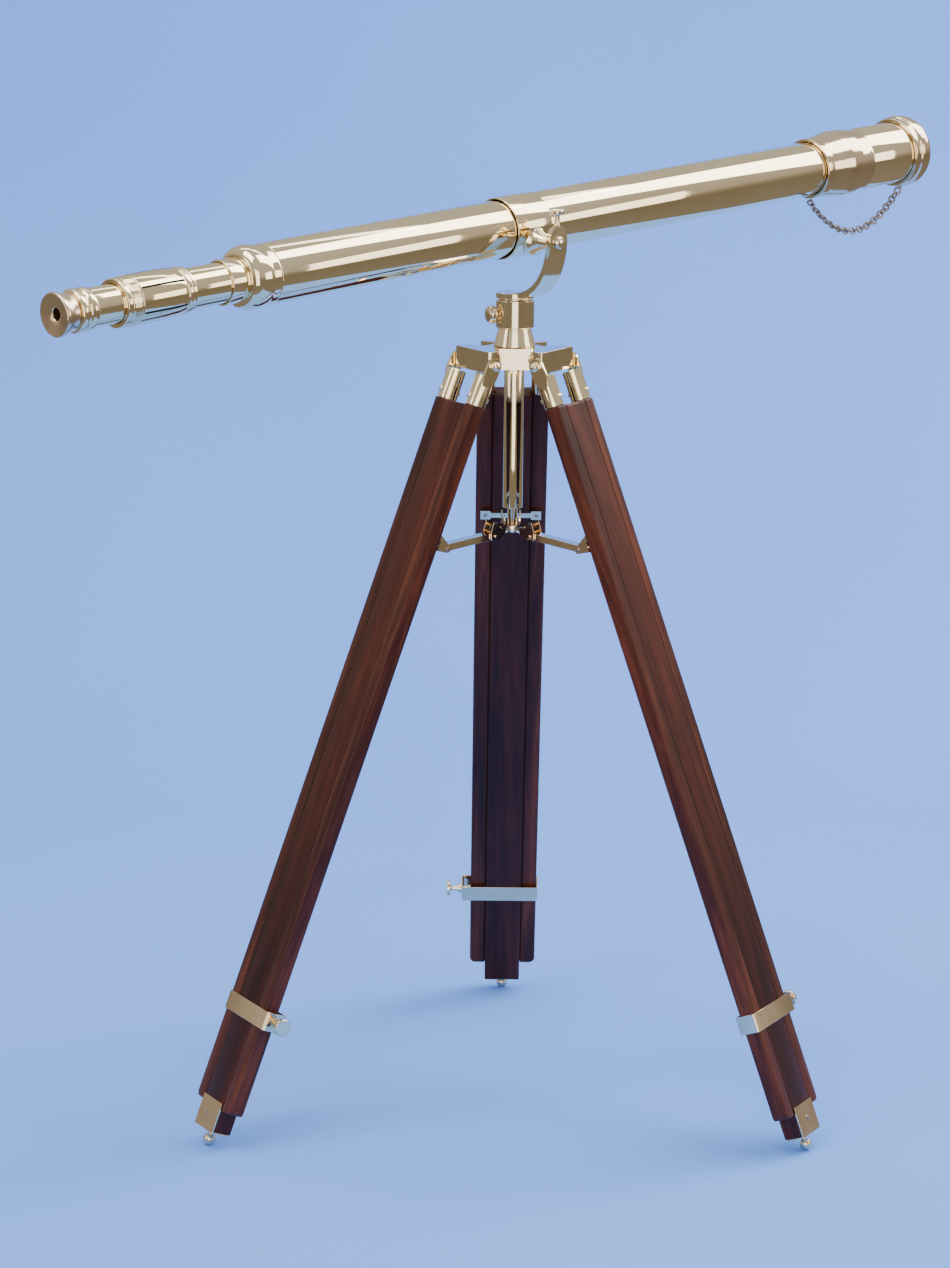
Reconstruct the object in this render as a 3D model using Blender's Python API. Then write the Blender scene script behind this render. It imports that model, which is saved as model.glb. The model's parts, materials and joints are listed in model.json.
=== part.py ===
"""Brass telescope on a folding wooden tripod. Sizes are in millimetres, converted to metres at the end."""
import math

import bmesh
import bpy
from mathutils import Matrix, Vector

MM = 0.001
GAP = 0.3

# Tripod legs: each leg frame has its origin on the hinge pin, x across the leg, y outward, z down the leg
LEG_AZIMUTHS = (90.0, 210.0, 330.0)
SPLAY = math.radians(21.37)
PIN_R = 48.4
PIN_Z = 827.2
PLANK_W = 42.1
PLANK_T = 21.2
PLANK_TOP = 47.0
PLANK_END = 869.0
RAIL_OUT = 39.5
RAIL_IN = 21.3
RAIL_T = 17.7
RAIL_TOP = 46.3
RAIL_END = 844.0
FACE = PLANK_T / 2
FERRULE_W = 30.3
FERRULE_R = 10.8
FERRULE_N = 1.0
EAR_IN = 37.3
EAR_OUT = 41.1
PIN_RADIUS = 2.7
CLAMP_S = 735.0
CLAMP_H = 20.0
CLAMP_T = 1.5
LOOP_W = 50.5
SCREW_N = -1.0
BRACKET_S = 199.0
BRACKET_N = -36.0
BALL_R = 6.75
BALL_N = 0.6

# Head, column and spreader
HEAD_Z0 = 819.0
HEAD_Z1 = 842.0
LOBE_R = 54.0
LOBE_W = 36.0
COLUMN_R = 10.8
COLUMN_Z0 = 666.0
COLUMN_Z1 = 838.0
HUB_R = 26.0
HUB_Z = 637.0
HUB_PLATE_Z0 = 645.3
HUB_PLATE_Z1 = 647.0
STRUT_W = 13.0
STRUT_H = 7.5

# Swivel and yoke
SOCKET_R = 21.0
SOCKET_Z0 = 862.3
SOCKET_Z1 = 892.0
KNOB_AZ = math.radians(204.0)
KNOB_Z = 877.0
DISC_Z0 = 894.0
DISC_Z1 = 900.0
ARM_D = 61.0
ARM_T = 6.0
ARM_HALF = 13.0
TRUNNION_Z = 957.5

# Telescope: s runs along the tube axis toward the objective, zero above the tripod axis
SCOPE_AZ = math.radians(44.2)
SCOPE_EL = math.radians(4.58)
SCOPE_Z = 971.3
REAR_R = 31.1
FRONT_R = 31.5
COLLAR_R = 33.3
CELL_R = 36.2
CAP_R = 42.3
CHAIN_SAG = 42.0
CHAIN_START = (486.0, 38.2)
CHAIN_END = (652.0, 45.2)

TUBE_STEPS = 24
SMALL_STEPS = 16

COLLECTION = bpy.data.collections.new("telescope_on_tripod")
PALETTE = {
    "brass": ((0.80, 0.62, 0.33), 1.0, 0.12),
    "wood": ((0.085, 0.026, 0.018), 0.0, 0.32),
    "glass": ((0.75, 0.85, 0.88), 0.0, 0.03),
}


def clear_scene():
    for obj in list(bpy.data.objects):
        bpy.data.objects.remove(obj, do_unlink=True)
    bpy.context.scene.collection.children.link(COLLECTION)


def make_material(name, kind):
    colour, metallic, roughness = PALETTE[kind]
    mat = bpy.data.materials.new(name)
    mat.use_nodes = True
    shader = mat.node_tree.nodes["Principled BSDF"]
    shader.inputs["Base Color"].default_value = (*colour, 1.0)
    shader.inputs["Metallic"].default_value = metallic
    shader.inputs["Roughness"].default_value = roughness
    mat.diffuse_color = (*colour, 1.0)
    return mat


def frame_matrix(origin, x_axis, y_axis, z_axis):
    """Placement with the given axes as columns."""
    rows = []
    for i in range(3):
        rows.append((x_axis[i], y_axis[i], z_axis[i], origin[i]))
    rows.append((0.0, 0.0, 0.0, 1.0))
    return Matrix(rows)


def leg_matrix(azimuth):
    az = math.radians(azimuth)
    radial = Vector((math.cos(az), math.sin(az), 0.0))
    up = Vector((0.0, 0.0, 1.0))
    across = Vector((-math.sin(az), math.cos(az), 0.0))
    outward = radial * math.cos(SPLAY) + up * math.sin(SPLAY)
    down = radial * math.sin(SPLAY) - up * math.cos(SPLAY)
    return frame_matrix(radial * PIN_R + up * PIN_Z, across, outward, down)


def radial_matrix(azimuth):
    """Upright frame: x outward at the azimuth, y counter-clockwise, z up."""
    az = math.radians(azimuth)
    radial = Vector((math.cos(az), math.sin(az), 0.0))
    across = Vector((-math.sin(az), math.cos(az), 0.0))
    return frame_matrix(Vector((0.0, 0.0, 0.0)), radial, across, Vector((0.0, 0.0, 1.0)))


SIDE = Vector((math.sin(SCOPE_AZ), -math.cos(SCOPE_AZ), 0.0))
ALONG = Vector((math.cos(SCOPE_AZ), math.sin(SCOPE_AZ), 0.0))
UP = Vector((0.0, 0.0, 1.0))
BORE = ALONG * math.cos(SCOPE_EL) + UP * math.sin(SCOPE_EL)
SCOPE = frame_matrix(Vector((0.0, 0.0, SCOPE_Z)), SIDE, BORE.cross(SIDE), BORE)
TRUNNION = frame_matrix(Vector((0.0, 0.0, TRUNNION_Z)), ALONG, UP, ALONG.cross(UP))
YOKE = frame_matrix(Vector((0.0, 0.0, 0.0)), SIDE, ALONG, UP)


def revolve(profile, steps):
    """Closed solid from a closed profile of (radius, height) about z."""
    bm = bmesh.new()
    rings = []
    for radius, height in profile:
        if radius < 1e-6:
            rings.append([bm.verts.new((0.0, 0.0, height))])
            continue
        ring = []
        for j in range(steps):
            angle = 2.0 * math.pi * j / steps
            ring.append(bm.verts.new((radius * math.cos(angle), radius * math.sin(angle), height)))
        rings.append(ring)
    for i in range(len(rings)):
        first = rings[i]
        second = rings[(i + 1) % len(rings)]
        if len(first) == 1 and len(second) == 1:
            continue
        for j in range(steps):
            k = (j + 1) % steps
            if len(first) == 1:
                bm.faces.new((first[0], second[j], second[k]))
            elif len(second) == 1:
                bm.faces.new((first[j], first[k], second[0]))
            else:
                bm.faces.new((first[j], first[k], second[k], second[j]))
    bmesh.ops.recalc_face_normals(bm, faces=bm.faces)
    return bm


def prism(outline, low, high, axis="z"):
    """Outline extruded from low to high; axis y or x swaps the plane of the outline."""
    bm = bmesh.new()
    bottom = [bm.verts.new((x, y, low)) for x, y in outline]
    top = [bm.verts.new((x, y, high)) for x, y in outline]
    count = len(outline)
    bm.faces.new(bottom)
    bm.faces.new(top)
    for i in range(count):
        k = (i + 1) % count
        bm.faces.new((bottom[i], bottom[k], top[k], top[i]))
    if axis == "y":
        for v in bm.verts:
            v.co = Vector((v.co.x, v.co.z, v.co.y))
    if axis == "x":
        for v in bm.verts:
            v.co = Vector((v.co.z, v.co.x, v.co.y))
    bmesh.ops.recalc_face_normals(bm, faces=bm.faces)
    return bm


def block(x0, x1, y0, y1, z0, z1):
    return prism([(x0, y0), (x1, y0), (x1, y1), (x0, y1)], z0, z1)


def ring_prism(outer, inner, low, high):
    """Band between two loops with the same number of points."""
    bm = bmesh.new()
    loops = []
    for loop, height in ((outer, low), (outer, high), (inner, high), (inner, low)):
        loops.append([bm.verts.new((x, y, height)) for x, y in loop])
    count = len(outer)
    for a in range(4):
        first = loops[a]
        second = loops[(a + 1) % 4]
        for i in range(count):
            k = (i + 1) % count
            bm.faces.new((first[i], first[k], second[k], second[i]))
    bmesh.ops.recalc_face_normals(bm, faces=bm.faces)
    return bm


def sweep(sections):
    """Closed solid through a list of equal rings of points."""
    bm = bmesh.new()
    rings = []
    for section in sections:
        rings.append([bm.verts.new(point) for point in section])
    count = len(sections[0])
    bm.faces.new(rings[0])
    bm.faces.new(rings[-1])
    for i in range(len(rings) - 1):
        for j in range(count):
            k = (j + 1) % count
            bm.faces.new((rings[i][j], rings[i][k], rings[i + 1][k], rings[i + 1][j]))
    bmesh.ops.recalc_face_normals(bm, faces=bm.faces)
    return bm


def rod(radius, low, high, steps=16):
    return revolve([(0.0, low), (radius, low), (radius, high), (0.0, high)], steps)


def placed(bm, matrix):
    bm.transform(matrix)
    return bm


def along_x(bm):
    """Turn a solid built along z so that it runs along x."""
    return placed(bm, Matrix.Rotation(math.radians(90.0), 4, "Y"))


def rounded(x0, x1, y0, y1, radius, count=4):
    """Rectangle with round corners."""
    points = []
    corners = ((x1 - radius, y1 - radius, 0), (x0 + radius, y1 - radius, 90),
               (x0 + radius, y0 + radius, 180), (x1 - radius, y0 + radius, 270))
    for cx, cy, start in corners:
        for i in range(count):
            angle = math.radians(start + 90.0 * i / (count - 1))
            points.append((cx + radius * math.cos(angle), cy + radius * math.sin(angle)))
    return points


def combine(first, second, operation):
    """Exact union or difference of two solids."""
    objs = []
    for bm in (first, second):
        mesh = bpy.data.meshes.new("work")
        bm.to_mesh(mesh)
        bm.free()
        obj = bpy.data.objects.new("work", mesh)
        bpy.context.scene.collection.objects.link(obj)
        objs.append(obj)
    mod = objs[0].modifiers.new("work", "BOOLEAN")
    mod.object = objs[1]
    mod.operation = operation
    mod.solver = "EXACT"
    graph = bpy.context.evaluated_depsgraph_get()
    mesh = bpy.data.meshes.new_from_object(objs[0].evaluated_get(graph))
    result = bmesh.new()
    result.from_mesh(mesh)
    bmesh.ops.remove_doubles(result, verts=result.verts, dist=0.0005)
    bmesh.ops.dissolve_degenerate(result, edges=result.edges, dist=0.0005)
    for obj in objs:
        used = obj.data
        bpy.data.objects.remove(obj, do_unlink=True)
        bpy.data.meshes.remove(used)
    bpy.data.meshes.remove(mesh)
    return result


def join(first, second):
    return combine(first, second, "UNION")


def cut(first, second):
    return combine(first, second, "DIFFERENCE")


def add(name, bm, kind, matrix=None, origin=(0.0, 0.0, 0.0), sharp=32.0):
    """Store a solid as an object whose origin is the given point."""
    if matrix is not None:
        bm.transform(matrix)
    bm.transform(Matrix.Translation(-Vector(origin)))
    bm.transform(Matrix.Scale(MM, 4))
    mesh = bpy.data.meshes.new(name)
    bm.to_mesh(mesh)
    bm.free()
    mesh.shade_smooth()
    mesh.set_sharp_from_angle(angle=math.radians(sharp))
    obj = bpy.data.objects.new(name, mesh)
    obj.location = Vector(origin) * MM
    obj.data.materials.append(make_material(name, kind))
    COLLECTION.objects.link(obj)
    return obj


# ---- telescope -------------------------------------------------------------------------------------------
def tube_profile(outer, inner, low, high):
    return [(outer, low), (outer, high), (inner, high), (inner, low)]


def scope_piece(name, profile, kind="brass", steps=TUBE_STEPS):
    add(name, revolve(profile, steps), kind, SCOPE, (0.0, 0.0, TRUNNION_Z))


def eyepiece_parts():
    scope_piece("eyecup", [
        (6.0, -618.9), (13.0, -620.2), (19.6, -621.3), (20.9, -621.6), (21.8, -620.9), (22.1, -619.0),
        (21.3, -615.5), (19.8, -611.0), (19.2, -607.5), (19.2, -602.5), (6.0, -602.5)], steps=20)
    scope_piece("bead_ring", [
        (19.9, -602.2), (21.6, -600.6), (22.0, -598.0), (21.5, -595.0), (20.0, -592.8), (19.9, -591.6),
        (21.0, -590.2), (21.7, -588.0), (21.8, -585.0), (20.9, -581.9), (19.4, -581.3), (9.8, -581.3),
        (9.8, -602.2)], steps=20)
    scope_piece("eye_lens", [(0.0, -599.6), (5.5, -599.2), (9.5, -598.0), (9.5, -596.0), (0.0, -596.0)],
                "glass", SMALL_STEPS)
    scope_piece("eyepiece_tube", tube_profile(19.3, 18.1, -581.0, -440.0), steps=20)


def focus_sleeve():
    scope_piece("focus_sleeve", [
        (20.0, -549.7), (23.4, -549.7), (24.4, -548.9), (24.6, -547.4), (24.6, -544.6), (23.9, -543.6),
        (23.9, -543.0), (24.5, -542.4), (24.5, -532.6), (23.8, -531.9), (23.8, -530.9), (25.0, -530.3),
        (25.0, -495.0), (24.4, -482.0), (23.8, -474.2), (22.9, -473.6), (22.9, -473.0), (24.1, -472.4),
        (24.1, -468.4), (23.2, -467.8), (23.2, -467.0), (23.5, -466.6), (23.5, -463.2), (22.6, -462.1),
        (21.0, -461.7), (21.0, -462.3), (21.0, -468.7), (19.7, -470.0), (19.7, -548.0)], steps=20)


def draw_parts():
    scope_piece("draw_tube", tube_profile(20.6, 19.7, -468.3, -290.0))
    scope_piece("draw_collar", [
        (20.95, -416.2), (22.6, -416.2), (23.1, -415.6), (23.1, -394.4), (20.95, -394.4)])
    scope_piece("rear_bell", [
        (20.95, -394.1), (24.6, -394.1), (27.6, -393.0), (30.4, -390.2), (32.3, -386.2), (33.1, -381.5),
        (33.1, -376.0), (32.3, -371.2), (31.7, -369.4), (31.7, -358.9), (29.3, -358.9), (29.3, -350.0),
        (27.5, -350.0), (27.5, -384.0), (20.95, -388.0)])


def main_tubes():
    scope_piece("rear_tube", tube_profile(REAR_R, 29.6, -358.6, -6.0))
    scope_piece("front_tube", tube_profile(FRONT_R, 30.0, -5.7, 492.0))
    scope_piece("centre_collar", [
        (31.8, -29.0), (32.8, -29.0), (COLLAR_R, -28.4), (COLLAR_R, 21.4), (32.8, 22.0), (31.8, 22.0)])


def objective_parts():
    scope_piece("objective_ring", [
        (31.8, 479.0), (34.2, 479.0), (34.8, 479.6), (34.8, 490.4), (35.3, 493.0), (38.4, 517.0),
        (39.1, 522.0), (39.1, 538.5), (38.5, 542.5), (36.9, 555.0), (36.9, 560.0), (33.2, 560.0),
        (33.2, 500.0), (31.8, 500.0)])
    scope_piece("objective_cell", [
        (CELL_R, 560.3), (CELL_R, 657.3), (35.7, 658.0), (33.8, 658.0), (33.8, 610.5), (31.0, 609.5),
        (31.0, 606.5), (33.8, 606.5), (33.8, 560.3)])
    scope_piece("objective_lens", [
        (0.0, 595.0), (16.0, 595.7), (33.4, 598.0), (33.4, 602.5), (30.0, 603.2), (16.0, 604.9),
        (0.0, 605.8)], "glass", 20)
    scope_piece("dust_cap", [
        (36.6, 634.0), (39.6, 634.0), (40.3, 634.8), (40.3, 640.2), (39.7, 641.2), (39.9, 643.0),
        (41.6, 644.4), (CAP_R, 646.6), (CAP_R, 652.0), (41.5, 656.5), (39.6, 660.6), (36.5, 662.4),
        (30.0, 663.0), (0.0, 663.0), (0.0, 660.4), (36.6, 660.4)])


def chain_point(t):
    """Route of the hanging chain from the ring to the cap."""
    ends = []
    for s, drop in (CHAIN_START, CHAIN_END):
        ends.append(Vector((0.0, 0.0, SCOPE_Z)) + BORE * s - UP * (drop / math.cos(SCOPE_EL)))
    return ends[0].lerp(ends[1], t) - UP * (4.0 * CHAIN_SAG * t * (1.0 - t))


def cap_chain():
    count = 25
    points = [chain_point(i / (count - 1)) for i in range(count)]
    sections = []
    for i, point in enumerate(points):
        tangent = (points[min(i + 1, count - 1)] - points[max(i - 1, 0)]).normalized()
        normal = SIDE.cross(tangent)
        ring = []
        for j in range(8):
            angle = 2.0 * math.pi * j / 8
            ring.append(point + SIDE * (2.0 * math.cos(angle)) + normal * (2.0 * math.sin(angle)))
        sections.append(ring)
    add("cap_chain", sweep(sections), "brass", origin=(0.0, 0.0, TRUNNION_Z), sharp=60.0)


def trunnion_post():
    body = revolve([
        (0.0, 14.0), (16.2, 14.0), (16.2, 31.5), (13.6, 33.6), (11.0, 37.0), (9.0, 41.5), (7.6, 47.0),
        (7.0, 52.0), (8.2, 52.6), (8.2, 55.4), (7.0, 55.9), (6.8, 56.8), (4.9, 56.8), (4.9, 64.4),
        (6.8, 64.4), (6.5, 66.3), (5.2, 67.9), (2.8, 68.8), (0.0, 69.1)], SMALL_STEPS)
    placed(body, TRUNNION)
    bore = placed(rod(COLLAR_R + GAP, -60.0, 60.0, 64), SCOPE)
    add("trunnion_post", cut(body, bore), "brass", origin=(0.0, 0.0, TRUNNION_Z))


# ---- yoke, swivel and head ---------------------------------------------------------------------------------
def yoke_arm():
    path = [(8.0, 897.4), (20.0, 898.6), (30.0, 902.2), (39.0, 907.8), (46.6, 915.4), (52.8, 924.8),
            (57.4, 936.0), (60.2, 948.0), (61.0, TRUNNION_Z), (61.0, 962.0), (61.0, 966.5),
            (61.0, 970.2), (61.0, 973.0), (61.0, 974.7)]
    sections = []
    for i, (d, z) in enumerate(path):
        before = path[max(i - 1, 0)]
        after = path[min(i + 1, len(path) - 1)]
        tangent = Vector((after[0] - before[0], after[1] - before[1])).normalized()
        off = Vector((-tangent.y, tangent.x)) * (ARM_T / 2)
        half = ARM_HALF
        if z > 962.0:
            half = math.sqrt(ARM_HALF ** 2 - (z - 962.0) ** 2)
        sections.append([(d + off.x, -half, z + off.y), (d + off.x, half, z + off.y),
                         (d - off.x, half, z - off.y), (d - off.x, -half, z - off.y)])
    arm = sweep(sections)
    disc = revolve([(0.0, DISC_Z0), (20.4, DISC_Z0), (SOCKET_R, DISC_Z0 + 0.6), (SOCKET_R, DISC_Z1 - 0.6),
                    (20.4, DISC_Z1), (0.0, DISC_Z1)], TUBE_STEPS)
    body = join(disc, arm)
    body = cut(body, placed(rod(2.2, 897.0, 903.0, 12), Matrix.Translation((-12.5, -1.6, 0.0))))
    body = cut(body, placed(rod(1.9, 959.0, 980.0, 12), Matrix.Translation((ARM_D, 0.0, 0.0))))
    pin = placed(along_x(rod(5.2, 50.0, 70.0, 20)), Matrix.Translation((0.0, 0.0, TRUNNION_Z)))
    add("yoke_arm", cut(body, pin), "brass", YOKE)


def tilt_lock_screw():
    body = revolve([
        (0.0, 965.0), (1.6, 965.0), (1.6, 975.1), (3.6, 975.1), (3.0, 977.2), (2.7, 985.6), (3.6, 987.6),
        (7.2, 988.0), (7.75, 988.6), (7.75, 991.4), (7.2, 992.0), (0.0, 992.0)], SMALL_STEPS)
    place = YOKE @ Matrix.Translation((ARM_D, 0.0, 0.0))
    add("tilt_lock_screw", body, "brass", place, tuple(SIDE * ARM_D + UP * 980.0))


def swivel_parts():
    add("swivel_spindle", revolve([
        (0.0, 864.5), (11.6, 864.5), (12.0, 865.0), (12.0, 892.3), (18.4, 892.3), (18.4, 893.7),
        (0.0, 893.7)], SMALL_STEPS), "brass")
    socket = revolve([
        (12.3, SOCKET_Z0), (20.4, SOCKET_Z0), (SOCKET_R, 862.9), (SOCKET_R, 891.4), (20.4, SOCKET_Z1),
        (12.3, SOCKET_Z1)], TUBE_STEPS)
    tilt = Matrix.Translation((0.0, 0.0, KNOB_Z)) @ Matrix.Rotation(KNOB_AZ, 4, "Z")
    hole = placed(along_x(rod(4.3, 9.0, 30.0)), tilt)
    add("swivel_socket", cut(socket, hole), "brass")
    add("socket_cone", revolve([
        (0.0, 842.3), (22.6, 842.3), (22.6, 843.6), (17.7, 861.4), (17.7, 862.0), (0.0, 862.0)],
        TUBE_STEPS), "brass")
    knob = along_x(revolve([
        (0.0, 12.4), (3.9, 12.4), (3.9, 21.6), (5.6, 22.2), (5.6, 23.6), (8.6, 24.2), (9.8, 25.6),
        (10.1, 28.0), (9.6, 30.6), (8.0, 32.4), (4.6, 33.5), (0.0, 33.8)], SMALL_STEPS))
    add("swivel_lock_knob", knob, "brass", tilt, (0.0, 0.0, KNOB_Z))


def head_casting():
    outline = []
    for azimuth in LEG_AZIMUTHS:
        az = math.radians(azimuth)
        lobe = [(28.2, -14.9), (39.0, -34.0), (40.6, -35.5), (42.6, -LOBE_W), (50.0, -LOBE_W),
                (52.8, -34.8), (LOBE_R, -32.0), (LOBE_R, 32.0), (52.8, 34.8), (50.0, LOBE_W),
                (42.6, LOBE_W), (40.6, 35.5), (39.0, 34.0), (28.2, 14.9)]
        for r, w in lobe:
            outline.append((r * math.cos(az) - w * math.sin(az), r * math.sin(az) + w * math.cos(az)))
    body = prism(outline, HEAD_Z0, HEAD_Z1)
    body = cut(body, rod(COLUMN_R + GAP, 800.0, 860.0, 20))
    for azimuth in LEG_AZIMUTHS:
        hole = placed(along_x(rod(PIN_RADIUS + GAP, -60.0, 60.0, 12)), leg_matrix(azimuth))
        body = cut(body, hole)
    add("head_casting", body, "brass")


def column_parts():
    add("column_tube", revolve([
        (5.9, COLUMN_Z0), (COLUMN_R, COLUMN_Z0), (COLUMN_R, COLUMN_Z1), (9.3, COLUMN_Z1), (9.3, 678.0),
        (5.9, 678.0)], 20), "brass")
    add("hub_rod", revolve([
        (0.0, 637.8), (2.2, 637.8), (3.0, 640.4), (8.6, 640.4), (9.2, 641.0), (9.2, 644.4), (8.6, 645.0),
        (3.0, 645.0), (3.0, 647.3), (5.6, 647.3), (5.6, 756.0), (8.8, 756.0), (8.8, 763.0),
        (0.0, 763.0)], SMALL_STEPS), "brass", origin=(0.0, 0.0, HUB_Z))


def spreader_hub():
    body = rod(13.0, HUB_PLATE_Z0, HUB_PLATE_Z1, 16)
    for azimuth in LEG_AZIMUTHS:
        place = radial_matrix(azimuth)
        body = join(body, placed(block(5.0, 19.4, -9.3, 9.3, HUB_PLATE_Z0, HUB_PLATE_Z1), place))
        ear = [(13.0, 646.8), (14.0, 640.0), (21.0, 632.6), (30.0, 632.6), (31.4, 634.4), (31.4, 641.0),
               (28.0, 652.4), (25.4, 652.4), (20.5, 646.8)]
        for low in (-9.1, 7.3):
            body = join(body, placed(prism(ear, low, low + 1.8, "y"), place))
        pin = placed(rod(1.5, -11.0, 11.0, 8), Matrix.Rotation(math.radians(-90.0), 4, "X"))
        placed(pin, place @ Matrix.Translation((HUB_R, 0.0, HUB_Z)))
        body = join(body, pin)
    body = cut(body, rod(3.3, 630.0, 660.0, 12))
    add("spreader_hub", body, "brass", origin=(0.0, 0.0, HUB_Z))


def strut(index, azimuth):
    """Inverted channel from the hub to the leg bracket."""
    end_r = PIN_R + BRACKET_S * math.sin(SPLAY) + BRACKET_N * math.cos(SPLAY)
    end_z = PIN_Z - BRACKET_S * math.cos(SPLAY) + BRACKET_N * math.sin(SPLAY)
    length = math.hypot(end_r - HUB_R, end_z - HUB_Z)
    pitch = math.atan2(HUB_Z - end_z, end_r - HUB_R)
    half = STRUT_W / 2
    low = -STRUT_H / 2
    high = STRUT_H / 2
    section = [(-half, low), (-half, high), (half, high), (half, low), (half - 1.3, low),
               (half - 1.3, high - 1.3), (1.3 - half, high - 1.3), (1.3 - half, low)]
    bm = prism(section, -4.0, length + 2.0, "x")
    hole = placed(rod(1.8, -20.0, 20.0, 10), Matrix.Rotation(math.radians(90.0), 4, "X"))
    bm = cut(bm, hole)
    place = radial_matrix(azimuth) @ Matrix.Translation((HUB_R, 0.0, HUB_Z))
    origin = place.to_translation()
    place = place @ Matrix.Rotation(pitch, 4, "Y")
    add("strut_%d" % index, bm, "brass", place, tuple(origin))


# ---- legs ------------------------------------------------------------------------------------------------
def rail(name, side, matrix, origin):
    outline = [(RAIL_IN, RAIL_TOP), (RAIL_OUT, RAIL_TOP)]
    for i in range(5):
        angle = math.radians(90.0 * i / 4)
        outline.append((RAIL_OUT - 5.0 + 5.0 * math.cos(angle), RAIL_END - 5.0 + 5.0 * math.sin(angle)))
    outline.append((RAIL_IN, RAIL_END))
    outline = [(side * w, s) for w, s in outline]
    bm = prism(outline, FACE - RAIL_T, FACE, "y")
    edges = []
    for edge in bm.edges:
        outer = all(abs(v.co.x) > RAIL_OUT - 0.01 for v in edge.verts)
        if outer and abs(edge.verts[0].co.z - edge.verts[1].co.z) > 50.0:
            edges.append(edge)
    bmesh.ops.bevel(bm, geom=edges, offset=2.0, segments=2, profile=0.5, affect="EDGES")
    bmesh.ops.recalc_face_normals(bm, faces=bm.faces)
    tenon = placed(rod(7.8, 30.0, 60.0, 16), Matrix.Translation((side * FERRULE_W, FERRULE_N, 0.0)))
    add(name, join(bm, tenon), "wood", matrix, origin, sharp=40.0)


def ferrule(name, side, matrix, origin):
    body = revolve([
        (0.0, 12.5), (10.2, 12.5), (FERRULE_R, 13.1), (FERRULE_R, 46.0), (8.1, 46.0), (8.1, 28.0),
        (0.0, 28.0)], SMALL_STEPS)
    placed(body, Matrix.Translation((side * FERRULE_W, FERRULE_N, 0.0)))
    outline = []
    for i in range(9):
        angle = math.radians(180.0 + 180.0 * i / 8)
        outline.append((8.0 * math.cos(angle), 8.0 * math.sin(angle)))
    outline.append((9.0, 14.0))
    outline.append((6.0, 24.0))
    outline.append((-4.0, 24.0))
    outline.append((-7.0, 14.0))
    low = min(side * EAR_IN, side * EAR_OUT)
    ear = prism(outline, low, low + EAR_OUT - EAR_IN, "x")
    body = join(body, ear)
    hole = along_x(rod(PIN_RADIUS + GAP, -60.0, 60.0, 12))
    add(name, cut(body, hole), "brass", matrix, origin)


def hinge_pin(name, matrix, origin):
    half = [(0.0, 48.0), (2.6, 47.7), (4.2, 46.6), (4.9, 45.0), (5.2, 44.6), (5.2, 41.5),
            (PIN_RADIUS, 41.5)]
    profile = [(r, -w) for r, w in half] + list(reversed(half))
    add(name, along_x(revolve(profile, 12)), "brass", matrix, origin)


def bracket(name, matrix, origin):
    outline = [(-34.0, 193.5), (-23.0, 193.5), (-22.0, 196.0), (22.0, 196.0), (23.0, 193.5), (34.0, 193.5),
               (34.0, 204.5), (23.0, 204.5), (22.0, 202.0), (-22.0, 202.0), (-23.0, 204.5), (-34.0, 204.5)]
    body = prism(outline, -FACE - GAP - 2.0, -FACE - GAP, "y")
    lug = [(-11.5, 186.0), (-11.5, 206.0), (-22.0, 205.0)]
    for i in range(7):
        angle = math.radians(80.0 + 190.0 * i / 6)
        lug.append((BRACKET_N + 4.4 * math.cos(angle), BRACKET_S + 4.4 * math.sin(angle)))
    lug.append((-22.0, 186.0))
    for low in (-11.0, 9.2):
        body = join(body, prism(lug, low, low + 1.8, "x"))
    for w in (-28.5, 28.5):
        boss = placed(rod(4.0, 0.0, 4.7, 12), Matrix.Rotation(math.radians(-90.0), 4, "X"))
        placed(boss, Matrix.Translation((w, -FACE - 1.5, BRACKET_S)))
        body = join(body, boss)
    add(name, body, "brass", matrix, origin)


def clamp(name, matrix, origin):
    inner_n = FACE + GAP
    out_n = inner_n + CLAMP_T
    low_w = -RAIL_OUT - GAP
    inner = rounded(low_w, LOOP_W - CLAMP_T, -inner_n, inner_n, 1.6)
    outer = rounded(low_w - CLAMP_T, LOOP_W, -out_n, out_n, 1.6 + CLAMP_T)
    body = ring_prism(outer, inner, CLAMP_S - CLAMP_H / 2, CLAMP_S + CLAMP_H / 2)
    place = Matrix.Translation((0.0, SCREW_N, CLAMP_S))
    body = join(body, placed(along_x(rod(5.4, LOOP_W - 0.8, LOOP_W + 5.0, 16)), place))
    body = cut(body, placed(along_x(rod(3.1, LOOP_W - 6.0, LOOP_W + 12.0, 16)), place))
    add(name, body, "brass", matrix, origin)


def clamp_screw(name, matrix):
    body = along_x(revolve([
        (0.0, 39.9), (4.4, 39.9), (4.4, 42.6), (2.8, 43.2), (2.8, 62.4), (4.0, 63.6), (8.8, 64.0),
        (9.5, 64.7), (9.5, 67.8), (8.8, 68.5), (3.0, 69.2), (0.0, 69.2)], SMALL_STEPS))
    place = matrix @ Matrix.Translation((0.0, SCREW_N, CLAMP_S))
    add(name, body, "brass", place, tuple(place.to_translation()))


def plank(name, matrix, origin):
    bm = block(-PLANK_W / 2, PLANK_W / 2, -FACE, FACE, PLANK_TOP, PLANK_END)
    bmesh.ops.bevel(bm, geom=list(bm.edges), offset=0.6, segments=1, profile=0.5, affect="EDGES")
    add(name, bm, "wood", matrix, origin, sharp=20.0)


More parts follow.
